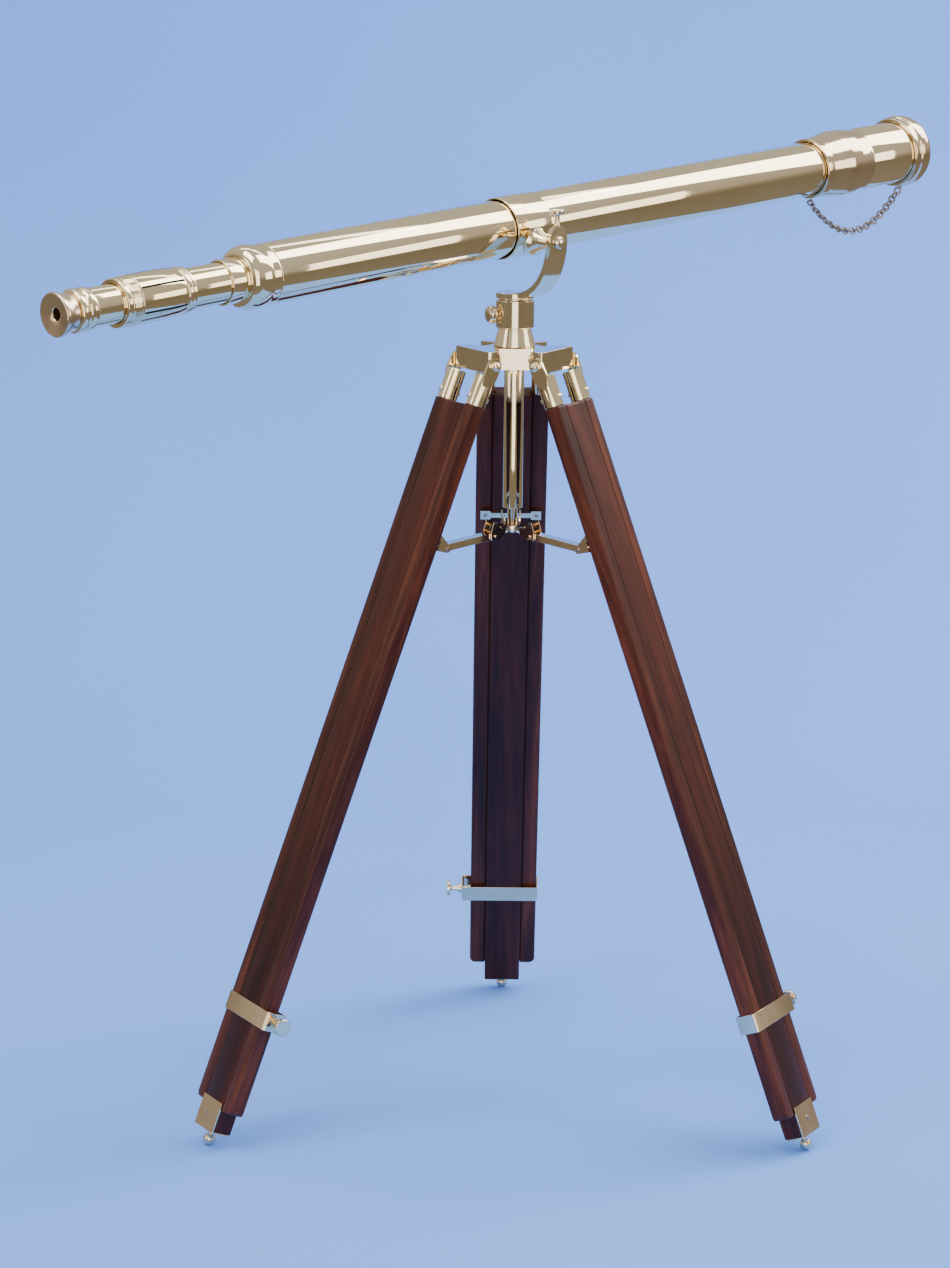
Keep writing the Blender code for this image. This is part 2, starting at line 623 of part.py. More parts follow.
def foot(name, matrix, origin):
    plate = FACE + GAP
    outline = [(plate, 837.0), (plate + 1.6, 837.0), (plate + 1.6, 870.9), (-8.0, 870.9), (-8.0, 869.3),
               (plate, 869.3)]
    body = prism(outline, -PLANK_W / 2, PLANK_W / 2, "x")
    centre = (PIN_Z + BALL_N * math.sin(SPLAY) - BALL_R) / math.cos(SPLAY)
    profile = [(0.0, 870.0), (4.2, 870.0), (4.2, 872.4), (2.6, 873.0)]
    for i in range(9):
        angle = math.radians(24.0 + 156.0 * i / 8)
        height = centre - BALL_R * math.cos(angle)
        profile.append((BALL_R * math.sin(angle) if i < 8 else 0.0, height))
    ball = placed(revolve(profile, 20), Matrix.Translation((0.0, BALL_N, 0.0)))
    add(name, join(body, ball), "brass", matrix, origin)


def leg(index, azimuth):
    matrix = leg_matrix(azimuth)
    origin = tuple(matrix.to_translation())
    rail("rail_%da" % index, 1, matrix, origin)
    rail("rail_%db" % index, -1, matrix, origin)
    ferrule("ferrule_%da" % index, 1, matrix, origin)
    ferrule("ferrule_%db" % index, -1, matrix, origin)
    hinge_pin("hinge_pin_%d" % index, matrix, origin)
    bracket("bracket_%d" % index, matrix, origin)
    clamp("clamp_%d" % index, matrix, origin)
    clamp_screw("clamp_screw_%d" % index, matrix)
    plank("plank_%d" % index, matrix, origin)
    foot("foot_%d" % index, matrix, origin)
    strut(index, azimuth)


def main():
    clear_scene()
    eyepiece_parts()
    focus_sleeve()
    draw_parts()
    main_tubes()
    objective_parts()
    cap_chain()
    trunnion_post()
    yoke_arm()
    tilt_lock_screw()
    swivel_parts()
    head_casting()
    column_parts()
    spreader_hub()
    for number, azimuth in enumerate(LEG_AZIMUTHS):
        leg(number + 1, azimuth)


main()
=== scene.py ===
"""Looks of the brass telescope on its folding wooden tripod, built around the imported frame."""
import json
import math

import bmesh
import bpy
from mathutils import Matrix, Vector


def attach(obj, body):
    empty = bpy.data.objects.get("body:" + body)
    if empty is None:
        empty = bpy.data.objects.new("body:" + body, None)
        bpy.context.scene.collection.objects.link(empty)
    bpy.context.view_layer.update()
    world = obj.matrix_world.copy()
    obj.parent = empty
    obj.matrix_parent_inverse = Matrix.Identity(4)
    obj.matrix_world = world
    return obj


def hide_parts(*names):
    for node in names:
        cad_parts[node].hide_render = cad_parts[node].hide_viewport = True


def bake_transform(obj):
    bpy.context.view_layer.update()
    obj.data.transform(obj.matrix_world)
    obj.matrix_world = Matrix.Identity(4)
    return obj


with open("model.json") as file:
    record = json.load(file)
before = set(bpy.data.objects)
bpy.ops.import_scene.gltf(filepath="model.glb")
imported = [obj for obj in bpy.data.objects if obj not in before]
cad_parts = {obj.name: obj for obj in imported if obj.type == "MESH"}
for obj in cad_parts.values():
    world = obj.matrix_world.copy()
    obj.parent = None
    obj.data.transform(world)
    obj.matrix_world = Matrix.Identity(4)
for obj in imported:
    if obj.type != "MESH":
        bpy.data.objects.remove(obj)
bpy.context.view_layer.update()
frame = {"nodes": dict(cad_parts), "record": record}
BODIES = frame["record"]["behaviour"]["bodies"]
NODE_BODY = {node: body for body, nodes in BODIES.items() for node in nodes}
MM = 0.001

# Camera: one long lens at standing height, aimed a little down at the tripod head
CAMERA_AT = (-0.0623, -3.6445, 1.3037)
CAMERA_HEADING = math.radians(89.64)
CAMERA_PITCH = math.radians(-12.07)
CAMERA_ROLL = math.radians(0.59)
CAMERA_LENS = 128.86

# The same driving sizes as the CAD, in millimetres
LEG_AZIMUTHS = (90.0, 210.0, 330.0)
SPLAY = math.radians(21.37)
PIN_R = 48.4
PIN_Z = 827.2
FACE = 10.6
PLANK_W = 21.05
PLANK_TOP = 47.0
PLANK_END = 869.0
RAIL_IN = 21.3
RAIL_OUT = 39.5
RAIL_T = 17.7
RAIL_TOP = 46.3
RAIL_END = 844.0
FERRULE_W = 30.3
FERRULE_R = 10.8
FERRULE_N = 1.0
BRACKET_S = 199.0
BRACKET_N = -36.0
SCOPE_AZ = math.radians(44.2)
SCOPE_EL = math.radians(4.58)
SCOPE_Z = 971.3
ARM_D = 61.0
KNOB_AZ = math.radians(204.0)
KNOB_Z = 877.0
CHAIN_SAG = 42.0
CHAIN_START = (486.0, 38.2)
CHAIN_END = (652.0, 45.2)
LINK_COUNT = 28
LINK_WIDTH = 7.6
LINK_WIRE = 1.2
LINK_OVERLAP = 1.5

# Small details
GRAIN_STRETCH = 14.0
BOLT_S = 37.0
FOOT_SCREW_S = 853.0
SLIT_COUNT = 6
SLIT_TURN = -34.6
SLIT_HALF = 1.15
SLIT_DEPTH = 0.4
SLIT_PATH = ((-529.6, 25.07), (-495.0, 25.07), (-482.0, 24.47), (-475.0, 23.97))
RIDGE_COUNT = 7
RIDGE_PITCH = 1.15
STEPS = 96

UP = Vector((0.0, 0.0, 1.0))
SIDE = Vector((math.sin(SCOPE_AZ), -math.cos(SCOPE_AZ), 0.0))
ALONG = Vector((math.cos(SCOPE_AZ), math.sin(SCOPE_AZ), 0.0))
BORE = ALONG * math.cos(SCOPE_EL) + UP * math.sin(SCOPE_EL)


SCOPE = Matrix((SIDE, BORE.cross(SIDE), BORE)).transposed().to_4x4()
SCOPE.translation = UP * SCOPE_Z


# ---- materials -------------------------------------------------------------------------------------------
class Nodes:
    """A material's node tree, with short calls to add and join nodes."""

    def __init__(self, name):
        self.material = bpy.data.materials.new(name)
        self.material.use_nodes = True
        self.tree = self.material.node_tree
        self.shader = self.tree.nodes["Principled BSDF"]

    def add(self, kind, **values):
        node = self.tree.nodes.new(kind)
        for key, value in values.items():
            setattr(node, key, value)
        return node

    def link(self, source, target):
        self.tree.links.new(source, target)

    def ramp(self, source, stops):
        node = self.add("ShaderNodeValToRGB")
        elements = node.color_ramp.elements
        while len(elements) < len(stops):
            elements.new(0.5)
        for element, (place, colour) in zip(elements, stops):
            element.position = place
            element.color = (*colour, 1.0)
        self.link(source, node.inputs["Fac"])
        return node.outputs["Color"]

    def noise(self, vector, scale, detail=3.0, roughness=0.5, distortion=0.0):
        node = self.add("ShaderNodeTexNoise")
        node.inputs["Scale"].default_value = scale
        node.inputs["Detail"].default_value = detail
        node.inputs["Roughness"].default_value = roughness
        node.inputs["Distortion"].default_value = distortion
        self.link(vector, node.inputs["Vector"])
        return node.outputs["Fac"]

    def bump(self, height, strength, distance):
        node = self.add("ShaderNodeBump")
        node.inputs["Strength"].default_value = strength
        node.inputs["Distance"].default_value = distance
        self.link(height, node.inputs["Height"])
        self.link(node.outputs["Normal"], self.shader.inputs["Normal"])

    def between(self, source, low, high):
        node = self.add("ShaderNodeMapRange")
        node.inputs["To Min"].default_value = low
        node.inputs["To Max"].default_value = high
        self.link(source, node.inputs["Value"])
        return node.outputs["Result"]


def brass(name, light, deep, smoothest, roughest, cloud=9.0):
    """Polished, lacquered brass: faint clouding in the colour and fine wipe marks in the polish."""
    n = Nodes(name)
    place = n.add("ShaderNodeTexCoord").outputs["Object"]
    clouds = n.noise(place, cloud, 4.0, 0.6)
    n.link(n.ramp(clouds, ((0.3, deep), (0.7, light))), n.shader.inputs["Base Color"])
    wipes = n.noise(place, 60.0, 5.0, 0.65, 0.6)
    n.link(n.between(wipes, smoothest, roughest), n.shader.inputs["Roughness"])
    n.shader.inputs["Metallic"].default_value = 1.0
    n.bump(n.noise(place, 90.0, 2.0), 0.02, 0.0002)
    return n.material


def wood(name, turn, deep, mid, light):
    """Dark stained hardwood under satin varnish, with its grain along the local z of the given turn."""
    n = Nodes(name)
    place = n.add("ShaderNodeTexCoord").outputs["Object"]
    mapping = n.add("ShaderNodeMapping")
    mapping.vector_type = "TEXTURE"
    mapping.inputs["Rotation"].default_value = turn
    mapping.inputs["Scale"].default_value = (1.0, 1.0, GRAIN_STRETCH)
    n.link(place, mapping.inputs["Vector"])
    vector = mapping.outputs["Vector"]
    streaks = n.noise(vector, 85.0, 6.0, 0.62, 0.9)
    figure = n.noise(vector, 16.0, 3.0, 0.5, 1.6)
    mix = n.add("ShaderNodeMath", operation="MULTIPLY_ADD")
    mix.inputs[1].default_value = 0.55
    n.link(streaks, mix.inputs[0])
    half = n.add("ShaderNodeMath", operation="MULTIPLY")
    half.inputs[1].default_value = 0.45
    n.link(figure, half.inputs[0])
    n.link(half.outputs[0], mix.inputs[2])
    colour = n.ramp(mix.outputs[0], ((0.34, deep), (0.50, mid), (0.66, light)))
    n.link(colour, n.shader.inputs["Base Color"])
    pores = n.noise(vector, 420.0, 2.0, 0.5)
    n.link(n.between(pores, 0.34, 0.46), n.shader.inputs["Roughness"])
    n.shader.inputs["Specular IOR Level"].default_value = 0.2
    n.shader.inputs["Coat Weight"].default_value = 0.03
    n.shader.inputs["Coat Roughness"].default_value = 0.16
    n.bump(pores, 0.10, 0.0004)
    return n.material


def plain_metal(name, colour, roughness):
    """Duller metal with a fine grain."""
    n = Nodes(name)
    place = n.add("ShaderNodeTexCoord").outputs["Object"]
    grain = n.noise(place, 160.0, 3.0)
    darker = tuple(c * 0.8 for c in colour)
    n.link(n.ramp(grain, ((0.3, darker), (0.7, colour))), n.shader.inputs["Base Color"])
    n.shader.inputs["Metallic"].default_value = 1.0
    n.shader.inputs["Roughness"].default_value = roughness
    n.bump(grain, 0.05, 0.0003)
    return n.material


def painted_gap_shade(name):
    """Painted shade: near-black colour standing in for the shadow inside seams and slits."""
    n = Nodes(name)
    place = n.add("ShaderNodeTexCoord").outputs["Object"]
    speck = n.noise(place, 300.0)
    n.link(n.ramp(speck, ((0.3, (0.010, 0.006, 0.004)), (0.7, (0.02, 0.013, 0.008)))),
           n.shader.inputs["Base Color"])
    n.shader.inputs["Roughness"].default_value = 0.7
    n.shader.inputs["Specular IOR Level"].default_value = 0.1
    return n.material


def lens_glass(name):
    """Clear lens glass with a faint coating."""
    n = Nodes(name)
    place = n.add("ShaderNodeTexCoord").outputs["Object"]
    coat = n.noise(place, 12.0)
    n.link(n.ramp(coat, ((0.3, (0.80, 0.88, 0.95)), (0.7, (0.88, 0.86, 0.96)))),
           n.shader.inputs["Base Color"])
    n.shader.inputs["Roughness"].default_value = 0.02
    n.shader.inputs["IOR"].default_value = 1.52
    n.shader.inputs["Transmission Weight"].default_value = 1.0
    return n.material


BRASS = brass("polished_brass", (0.93, 0.79, 0.53), (0.88, 0.72, 0.44), 0.05, 0.07)
CAST_BRASS = brass("cast_brass", (0.93, 0.80, 0.56), (0.86, 0.70, 0.45), 0.08, 0.11, 30.0)
CUP_BRASS = brass("cup_brass", (0.86, 0.69, 0.50), (0.70, 0.53, 0.37), 0.16, 0.26, 30.0)
TRIM_BRASS = brass("trim_brass", (0.86, 0.71, 0.50), (0.76, 0.58, 0.38), 0.09, 0.12, 40.0)
CHAIN_METAL = plain_metal("chain_metal", (0.40, 0.31, 0.24), 0.28)
# Painted shade for the seams between rails and planks and for the sleeve slits.
PAINTED_SHADE = painted_gap_shade("painted_gap_shade")
GLASS = lens_glass("lens_glass")


def leg_turn(azimuth):
    """Euler turn of a leg frame, whose z runs down the leg."""
    return leg_matrix(azimuth).to_3x3().to_euler()


def leg_matrix(azimuth):
    """Leg frame: origin on the hinge pin, x across the leg, y outward, z down the leg."""
    az = math.radians(azimuth)
    radial = Vector((math.cos(az), math.sin(az), 0.0))
    across = Vector((-math.sin(az), math.cos(az), 0.0))
    outward = radial * math.cos(SPLAY) + UP * math.sin(SPLAY)
    down = radial * math.sin(SPLAY) - UP * math.cos(SPLAY)
    matrix = Matrix((across, outward, down)).transposed().to_4x4()
    matrix.translation = radial * PIN_R + UP * PIN_Z
    return matrix


# ---- pieces ----------------------------------------------------------------------------------------------
def store(name, bm, material, body, matrix=None, sharp=35.0):
    """Keep a mesh built in millimetres as a piece that rides on a body."""
    if matrix is not None:
        bm.transform(matrix)
    bm.transform(Matrix.Scale(MM, 4))
    mesh = bpy.data.meshes.new(name)
    bmesh.ops.recalc_face_normals(bm, faces=bm.faces)
    bm.to_mesh(mesh)
    bm.free()
    mesh.shade_smooth()
    mesh.set_sharp_from_angle(angle=math.radians(sharp))
    mesh.materials.append(material)
    obj = bpy.data.objects.new(name, mesh)
    bpy.context.scene.collection.objects.link(obj)
    if body is not None:
        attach(obj, body)
    return obj


def finished(node, material, round_mm, sharp=32.0):
    """A CAD node's skin with softened edges, standing for the node."""
    bm = bmesh.new()
    bm.from_mesh(frame["nodes"][node].data)
    bmesh.ops.remove_doubles(bm, verts=bm.verts, dist=0.000002)
    bmesh.ops.dissolve_limit(bm, angle_limit=math.radians(0.5), verts=bm.verts, edges=bm.edges)
    bm.transform(Matrix.Scale(1.0 / MM, 4))
    obj = store(node + "_skin", bm, material, NODE_BODY[node], sharp=sharp)
    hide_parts(node)
    if round_mm > 0.0:
        bevel = obj.modifiers.new("edge", "BEVEL")
        bevel.width = round_mm * MM
        bevel.segments = 2
        bevel.limit_method = "ANGLE"
        bevel.angle_limit = math.radians(sharp)
        bevel.harden_normals = True
    return obj


def lathe(profile, steps):
    """Closed solid turned about z from (radius, height) points."""
    bm = bmesh.new()
    rings = []
    for radius, height in profile:
        if radius < 1e-6:
            rings.append([bm.verts.new((0.0, 0.0, height))] * steps)
            continue
        ring = []
        for j in range(steps):
            angle = 2.0 * math.pi * j / steps
            ring.append(bm.verts.new((radius * math.cos(angle), radius * math.sin(angle), height)))
        rings.append(ring)
    for i, first in enumerate(rings):
        second = rings[(i + 1) % len(rings)]
        for j in range(steps):
            k = (j + 1) % steps
            corners = []
            for vert in (first[j], first[k], second[k], second[j]):
                if vert not in corners:
                    corners.append(vert)
            if len(corners) > 2:
                bm.faces.new(corners)
    return bm


def merged(parts):
    """One mesh from several."""
    result = bmesh.new()
    for part in parts:
        mesh = bpy.data.meshes.new("part")
        part.to_mesh(mesh)
        part.free()
        result.from_mesh(mesh)
        bpy.data.meshes.remove(mesh)
    return result


def aimed(origin, direction):
    """Placement whose z points along a direction."""
    matrix = Vector(direction).to_track_quat("Z", "X").to_matrix().to_4x4()
    matrix.translation = Vector(origin)
    return matrix


def screw_head(radius, height, origin, direction):
    """Domed screw head."""
    profile = [(radius, 0.0), (radius, 0.25 * height)]
    for i in range(1, 5):
        angle = math.radians(90.0 * i / 4)
        profile.append((radius * math.cos(angle) if i < 4 else 0.0,
                        height * (0.25 + 0.75 * math.sin(angle))))
    head = lathe(profile + [(0.0, 0.0)], 16)
    head.transform(aimed(origin, direction))
    return head


def softened(profile, size, passes=2):
    """The profile with its corners cut, and cut again, into small rounds."""
    points = [Vector(point) for point in profile]
    for _ in range(passes):
        cut = []
        for i, here in enumerate(points):
            before = points[i - 1] - here
            after = points[(i + 1) % len(points)] - here
            if here.x < 1e-6:
                cut.append(here)
                continue
            cut.append(here + before.normalized() * min(size, 0.28 * before.length))
            cut.append(here + after.normalized() * min(size, 0.28 * after.length))
        points = cut
        size /= 2
    return [tuple(point) for point in points]


def turned(node, profile, material, matrix=None, steps=STEPS, size=0.3, passes=2):
    """A finely turned skin in place of a CAD node."""
    bm = lathe(softened(profile, size, passes), steps)
    obj = store(node + "_skin", bm, material, NODE_BODY[node], matrix, 60.0)
    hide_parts(node)


def tube_profile(outer, inner, low, high):
    """Profile of a plain tube."""
    return [(outer, low), (outer, high), (inner, high), (inner, low)]


def eyepiece_nodes():
    """Eyecup, bead ring, eyepiece tube and focusing sleeve."""
    turned("eyecup", [
        (6.0, -618.9), (13.0, -620.2), (19.6, -621.3), (20.9, -621.6), (21.8, -620.9), (22.1, -619.0),
        (21.3, -615.5), (19.8, -611.0), (19.2, -607.5), (19.2, -602.5), (6.0, -602.5)],
        CUP_BRASS, SCOPE, size=1.2, passes=3)
    turned("bead_ring", [
        (19.9, -602.2), (21.6, -600.6), (22.0, -598.0), (21.5, -595.0), (20.0, -592.8), (19.9, -591.6),
        (21.0, -590.2), (21.7, -588.0), (21.8, -585.0), (20.9, -581.9), (19.4, -581.3), (9.8, -581.3),
        (9.8, -602.2)], BRASS, SCOPE, size=1.2, passes=3)
    turned("eyepiece_tube", tube_profile(19.3, 18.1, -581.0, -440.0), BRASS, SCOPE)
    turned("focus_sleeve", [
        (20.0, -549.7), (23.4, -549.7), (24.4, -548.9), (24.6, -547.4), (24.6, -544.6), (23.9, -543.6),
        (23.9, -543.0), (24.5, -542.4), (24.5, -532.6), (23.8, -531.9), (23.8, -530.9), (25.0, -530.3),
        (25.0, -495.0), (24.4, -482.0), (23.8, -474.2), (22.9, -473.6), (22.9, -473.0), (24.1, -472.4),
        (24.1, -468.4), (23.2, -467.8), (23.2, -467.0), (23.5, -466.6), (23.5, -463.2), (22.6, -462.1),
        (21.0, -461.7), (21.0, -462.3), (21.0, -468.7), (19.7, -470.0), (19.7, -548.0)], BRASS, SCOPE)


def tube_nodes():
    """Draw tube, collars, bell and the two main tubes."""
    turned("draw_tube", tube_profile(20.6, 19.7, -468.3, -290.0), BRASS, SCOPE)
    turned("draw_collar", [
        (20.95, -416.2), (22.6, -416.2), (23.1, -415.6), (23.1, -394.4), (20.95, -394.4)],
        BRASS, SCOPE)
    turned("rear_bell", [
        (20.95, -394.1), (24.6, -394.1), (27.6, -393.0), (30.4, -390.2), (32.3, -386.2), (33.1, -381.5),
        (33.1, -376.0), (32.3, -371.2), (31.7, -369.4), (31.7, -358.9), (29.3, -358.9), (29.3, -350.0),
        (27.5, -350.0), (27.5, -384.0), (20.95, -388.0)], BRASS, SCOPE, size=1.6, passes=3)
    turned("rear_tube", tube_profile(31.1, 29.6, -358.6, -6.0), BRASS, SCOPE)
    turned("front_tube", tube_profile(31.5, 30.0, -5.7, 492.0), BRASS, SCOPE)
    turned("centre_collar", [
        (31.8, -29.0), (32.8, -29.0), (33.3, -28.4), (33.3, 21.4), (32.8, 22.0), (31.8, 22.0)],
        BRASS, SCOPE)


def objective_nodes():
    """Objective ring, cell, cap and the two lenses."""
    turned("objective_ring", [
        (31.8, 479.0), (34.2, 479.0), (34.8, 479.6), (34.8, 490.4), (35.3, 493.0), (38.4, 517.0),
        (39.1, 522.0), (39.1, 538.5), (38.5, 542.5), (36.9, 555.0), (36.9, 560.0), (33.2, 560.0),
        (33.2, 500.0), (31.8, 500.0)], TRIM_BRASS, SCOPE)
    turned("objective_cell", [
        (36.2, 560.3), (36.2, 657.3), (35.7, 658.0), (33.8, 658.0), (33.8, 610.5), (31.0, 609.5),
        (31.0, 606.5), (33.8, 606.5), (33.8, 560.3)], BRASS, SCOPE)
    turned("dust_cap", [
        (36.6, 634.0), (39.6, 634.0), (40.3, 634.8), (40.3, 640.2), (39.7, 641.2), (39.9, 643.0),
        (41.6, 644.4), (42.2, 646.6), (42.2, 652.0), (41.5, 656.5), (39.6, 660.6), (36.5, 662.4),
        (30.0, 662.8), (0.0, 662.8), (0.0, 660.4), (36.6, 660.4)], TRIM_BRASS, SCOPE)
    for node in ("eye_lens", "objective_lens"):
        frame["nodes"][node].data.materials.clear()
        frame["nodes"][node].data.materials.append(GLASS)


def mount_nodes():
    """Yoke, swivel, head, column and hub."""
    turned("socket_cone", [
        (0.0, 842.3), (22.6, 842.3), (22.6, 843.6), (17.7, 861.4), (17.7, 862.0), (0.0, 862.0)],
        CAST_BRASS, size=0.5)
    turned("column_tube", [
        (5.9, 666.0), (10.8, 666.0), (10.8, 838.0), (9.3, 838.0), (9.3, 678.0), (5.9, 678.0)],
        BRASS, steps=64)
    turned("hub_rod", [
        (0.0, 637.8), (2.2, 637.8), (3.0, 640.4), (8.6, 640.4), (9.2, 641.0), (9.2, 644.4), (8.6, 645.0),
        (3.0, 645.0), (3.0, 647.3), (5.6, 647.3), (5.6, 756.0), (8.8, 756.0), (8.8, 763.0),
        (0.0, 763.0)], CAST_BRASS, steps=48)
    turned("swivel_spindle", [
        (0.0, 864.5), (11.6, 864.5), (12.0, 865.0), (12.0, 892.3), (18.4, 892.3), (18.4, 893.7),
        (0.0, 893.7)], CAST_BRASS, steps=48)
    turned("tilt_lock_screw", [
        (0.0, 965.0), (1.6, 965.0), (1.6, 975.1), (3.6, 975.1), (3.0, 977.2), (2.7, 985.6), (3.6, 987.6),
        (7.2, 988.0), (7.75, 988.6), (7.75, 991.4), (7.2, 992.0), (0.0, 992.0)],
        TRIM_BRASS, Matrix.Translation(SIDE * ARM_D), 48, 0.4)
    knob_turn = Matrix.Translation((0.0, 0.0, KNOB_Z)) @ Matrix.Rotation(KNOB_AZ, 4, "Z")
    knob_turn = knob_turn @ Matrix.Rotation(math.radians(90.0), 4, "Y")
    turned("swivel_lock_knob", [
        (0.0, 12.4), (3.9, 12.4), (3.9, 21.6), (5.6, 22.2), (5.6, 23.6), (8.6, 24.2), (9.8, 25.6),
        (10.1, 28.0), (9.6, 30.6), (8.0, 32.4), (4.6, 33.5), (0.0, 33.8)],
        TRIM_BRASS, knob_turn, 48, 0.5)
    for node in ("trunnion_post", "yoke_arm", "swivel_socket", "head_casting"):
        finished(node, CAST_BRASS, 0.5, 22.0)
    finished("spreader_hub", TRIM_BRASS, 0.2)


def bar(stations):
    """Rounded bar through (s, low w, high w, low n, high n, corner) stations along the leg."""
    bm = bmesh.new()
    rows = []
    for s, w0, w1, n0, n1, corner in stations:
        row = []
        for cw, cn, start in ((w1 - corner, n1 - corner, 0.0), (w0 + corner, n1 - corner, 90.0),
                              (w0 + corner, n0 + corner, 180.0), (w1 - corner, n0 + corner, 270.0)):
            for i in range(5):
                angle = math.radians(start + 90.0 * i / 4)
                row.append(bm.verts.new((cw + corner * math.cos(angle), cn + corner * math.sin(angle), s)))
        rows.append(row)
    count = len(rows[0])
    for a, b in zip(rows, rows[1:]):
        for j in range(count):
            k = (j + 1) % count
            bm.faces.new((a[j], a[k], b[k], b[j]))
    bm.faces.new(reversed(rows[0]))
    bm.faces.new(rows[-1])
    return bm


def rail_on_side(number, side, sign, azimuth):
    """Whether the CAD rail lies on the leg's side of that sign."""
    mesh = frame["nodes"]["rail_%d%s" % (number, side)].data
    inverse = leg_matrix(azimuth).inverted()
    middle = sum((inverse @ (v.co / MM) for v in mesh.vertices), Vector()) / len(mesh.vertices)
    return middle.x * sign > 0.0


def wooden_rail(node, sign, material, azimuth):
    """One side rail with rounded edges, and the tenon that goes into its ferrule."""
    low_n = FACE - RAIL_T
    stations = []
    for s, edge in ((RAIL_TOP, 0.8), (RAIL_TOP + 0.8, 0.0), (RAIL_TOP + 3.0, 0.0), (RAIL_END - 8.0, 0.0)):
        stations.append((s, RAIL_IN + edge, RAIL_OUT - edge, low_n + edge, FACE - edge, 2.2))
    for i in range(6):
        angle = math.radians(86.0 * i / 5)
        stations.append((RAIL_END - 5.0 + 5.0 * math.sin(angle), RAIL_IN,
                         RAIL_OUT - 5.0 + 5.0 * math.cos(angle), low_n, FACE, 2.2))
    if sign < 0:
        stations = [(s, -w1, -w0, n0, n1, corner) for s, w0, w1, n0, n1, corner in stations]
    tenon = lathe([(0.0, 30.0), (7.8, 30.0), (7.8, RAIL_TOP + 2.0), (0.0, RAIL_TOP + 2.0)], 32)
    tenon.transform(Matrix.Translation((sign * FERRULE_W, FERRULE_N, 0.0)))
    body = merged([bar(stations), tenon])
    obj = store(node + "_skin", body, material, NODE_BODY[node], leg_matrix(azimuth), 50.0)
    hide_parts(node)


def wooden_plank(node, material, azimuth):
    """The sliding plank between two rails."""
    stations = []
    for s, edge in ((PLANK_TOP, 0.8), (PLANK_TOP + 0.8, 0.0), (PLANK_TOP + 3.0, 0.0),
                    (PLANK_END - 3.0, 0.0), (PLANK_END - 0.8, 0.0), (PLANK_END, 0.8)):
        stations.append((s, edge - PLANK_W, PLANK_W - edge, edge - FACE, FACE - edge, 1.4))
    obj = store(node + "_skin", bar(stations), material, NODE_BODY[node],
                leg_matrix(azimuth), 50.0)
    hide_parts(node)


def leg_nodes():
    """Wood and brass of the three legs."""
    deep = (0.018, 0.0040, 0.0030)
    for number, azimuth in enumerate(LEG_AZIMUTHS, 1):
        turn = leg_turn(azimuth)
        rail = wood("rail_wood_%d" % number, turn, deep, (0.056, 0.0132, 0.0085), (0.145, 0.036, 0.0165))
        plank = wood("plank_wood_%d" % number, turn, deep, (0.050, 0.0098, 0.0068), (0.098, 0.0210, 0.0110))
        for side, sign in (("a", 1), ("b", -1)):
            if not rail_on_side(number, side, sign, azimuth):
                sign = -sign
            wooden_rail("rail_%d%s" % (number, side), sign, rail, azimuth)
            finished("ferrule_%d%s" % (number, side), BRASS, 0.4)
        wooden_plank("plank_%d" % number, plank, azimuth)
        for node in ("hinge_pin", "clamp_screw"):
            finished("%s_%d" % (node, number), CAST_BRASS, 0.3)
        for node in ("bracket", "clamp", "strut", "foot"):
            finished("%s_%d" % (node, number), TRIM_BRASS, 0.25)


# ---- small parts -----------------------------------------------------------------------------------------
def sleeve_slits():
    """Six long spring slits in the friction sleeve, as thin inlays of painted shade standing in for the
    dark inside of each cut.
    """
    parts = []
    outer = [(-SLIT_HALF, 0.0), (0.0, 0.0), (SLIT_HALF, 0.0)]
    corners = outer + [(across, SLIT_DEPTH) for across, _ in reversed(outer)]
    for i in range(SLIT_COUNT):
        angle = math.radians(360.0 * i / SLIT_COUNT + SLIT_TURN)
        bm = bmesh.new()
        rows = []
        for s, radius in SLIT_PATH:
            row = []
            for across, depth in corners:
                turn = angle + across / radius
                row.append(bm.verts.new(((radius - depth) * math.cos(turn),
                                         (radius - depth) * math.sin(turn), s)))
            rows.append(row)
        for a, b in zip(rows, rows[1:]):
            for k in range(len(corners)):
                m = (k + 1) % len(corners)
                bm.faces.new((a[k], a[m], b[m], b[k]))
        bm.faces.new(reversed(rows[0]))
        bm.faces.new(rows[-1])
        parts.append(bm)
    store("sleeve_slits", merged(parts), PAINTED_SHADE, NODE_BODY["focus_sleeve"], SCOPE)


def sleeve_ridges():
    """Fine turned ridges on the band beside the sleeve's flange."""
    profile = [(24.3, -541.6)]
    for i in range(RIDGE_COUNT):
        s = -541.0 + RIDGE_PITCH * i
        profile += [(24.5, s), (24.85, s + 0.35), (24.85, s + 0.6), (24.5, s + 0.95)]
    profile.append((24.3, -533.2))
    store("sleeve_ridges", lathe(profile, STEPS), BRASS, NODE_BODY["focus_sleeve"], SCOPE)


def gap_shade_lines():
    """Painted shade: dark strips in the seams between each leg's rails and its sliding plank, standing in
    for the shadow in the narrow gap.
    """
    for number, azimuth in enumerate(LEG_AZIMUTHS, 1):
        parts = []
        for side in (1, -1):
            for face, low in ((FACE - 1.1, FACE - 0.5), (FACE - RAIL_T + 0.5, FACE - RAIL_T + 1.1)):
                ends = sorted((side * (PLANK_W + 0.05), side * (RAIL_IN + 0.9)))
                parts.append(bar([(PLANK_TOP + 1.0, ends[0], ends[1], face, low, 0.2),
                                  (RAIL_END - 4.0, ends[0], ends[1], face, low, 0.2)]))
        store("gap_lines_%d" % number, merged(parts), PAINTED_SHADE, "leg_%d" % number,
              leg_matrix(azimuth))


def ferrule_screws():
    """Domed ends of the through bolts in the ferrules."""
    for number, azimuth in enumerate(LEG_AZIMUTHS, 1):
        matrix = leg_matrix(azimuth)
        parts = []
        for side in (1, -1):
            for way in (1, -1):
                out = Vector((0.0, way, 0.0))
                at = Vector((side * FERRULE_W, FERRULE_N, BOLT_S)) + out * (FERRULE_R - 0.4)
                parts.append(screw_head(3.0, 2.9, at, out))
        store("ferrule_screws_%d" % number, merged(parts), CAST_BRASS, "leg_%d" % number,
              matrix)


